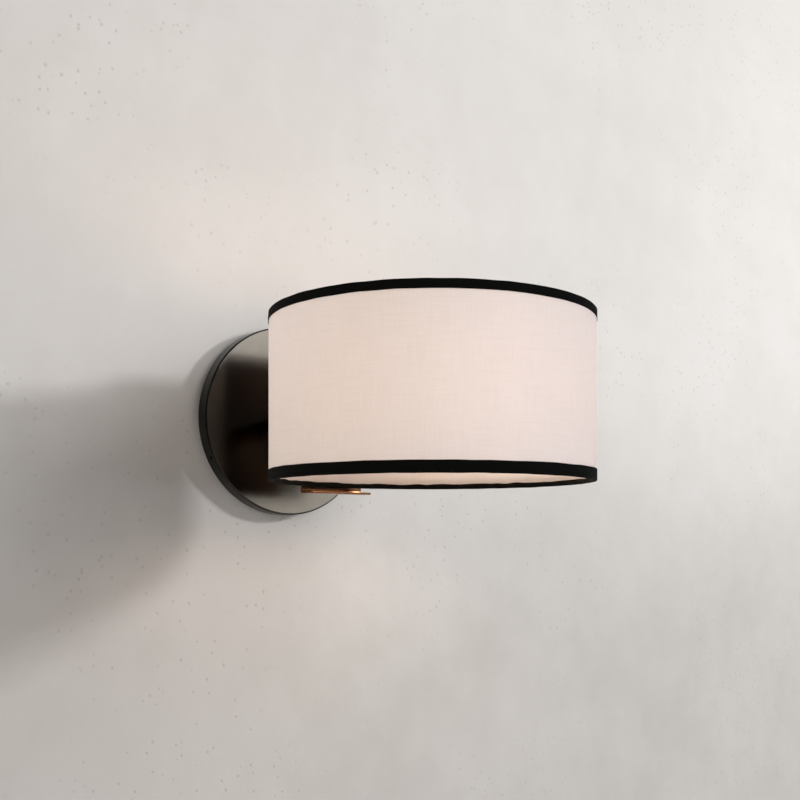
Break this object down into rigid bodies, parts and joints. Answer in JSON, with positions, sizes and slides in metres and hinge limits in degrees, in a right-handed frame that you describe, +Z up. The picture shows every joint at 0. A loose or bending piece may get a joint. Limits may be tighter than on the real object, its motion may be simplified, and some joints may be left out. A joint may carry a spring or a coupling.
{
  "type": "fabric shade wall light",
  "caption": "Fixed wall light: round satin metal canopy, short straight arm and copper strap carrying a linen drum shade with black taped rims; bulb lies level inside.",
  "frame": {"origin": "centre of the canopy's back, where it meets the wall", "axes": "+Y into the wall, +Z up, light stands out along -Y"},
  "size_m": [0.2038, 0.2797, 0.1396],
  "materials": {
    "canopy_metal": "satin warm gunmetal plating",
    "copper": "satin copper plating",
    "zinc_steel": "bright zinc plating",
    "linen": "plain woven linen, laminated",
    "liner": "stiff white lamination sheet",
    "tape": "folded black twill tape",
    "ring_wire": "plain drawn wire",
    "insulator": "black moulded phenolic",
    "brass": "plain brass",
    "nickel": "nickel plated",
    "green_screw": "green dyed zinc",
    "black_wire": "vinyl insulation",
    "white_wire": "vinyl insulation",
    "green_wire": "vinyl insulation",
    "connector": "moulded ribbed shell",
    "bulb_glass": "inside frosted",
    "stem_glass": "clear lead glass",
    "tungsten": "drawn wire",
    "base_glass": "black vitrified glass"
  },
  "bodies": {
    "light": {"wall_canopy": "canopy_metal", "canopy_set_screws": "canopy_metal", "arm_tube": "canopy_metal", "shade_bracket": "copper", "shade_spacer": "copper", "mounting_plate": "zinc_steel", "ground_screw": "green_screw", "rear_nipple": "zinc_steel", "front_nipple": "zinc_steel", "earth_lug": "nickel", "lock_washer": "zinc_steel", "arm_nut": "zinc_steel", "shade_back_plate": "zinc_steel", "saddle_washer": "zinc_steel", "shade_nut": "zinc_steel", "shade_fabric": "linen", "shade_liner": "liner", "top_wire_ring": "ring_wire", "bottom_wire_ring": "ring_wire", "top_trim": "tape", "bottom_trim": "tape", "socket_cup": "copper", "socket_nut": "zinc_steel", "socket_body": "insulator", "cup_screws": "zinc_steel", "screw_shell": "nickel", "centre_contact": "brass", "terminal_screws": "brass", "live_lead": "black_wire", "neutral_lead": "white_wire", "earth_lead": "green_wire", "wire_connectors": "connector"},
    "bulb_contact": {"bulb_tip": "nickel"},
    "bulb": {"bulb_glass": "bulb_glass", "bulb_stem": "stem_glass", "bulb_filament": "tungsten", "bulb_base": "nickel", "bulb_insulator": "base_glass"}
  },
  "joints": [
    {"name": "bulb_travel", "type": "slide", "parent": "light", "child": "bulb_contact", "axis": [0, -1, 0], "range_m": [0, 0.0255]},
    {"name": "bulb_turn", "type": "hinge", "parent": "bulb_contact", "child": "bulb", "pos_m": [0, -0.11, 0], "axis": [0, -1, 0], "range_deg": [0, 2520]}
  ],
  "couplings": [
    {"joint": "bulb_travel", "follows": "bulb_turn", "m_per_rad": 0.0005775}
  ]
}
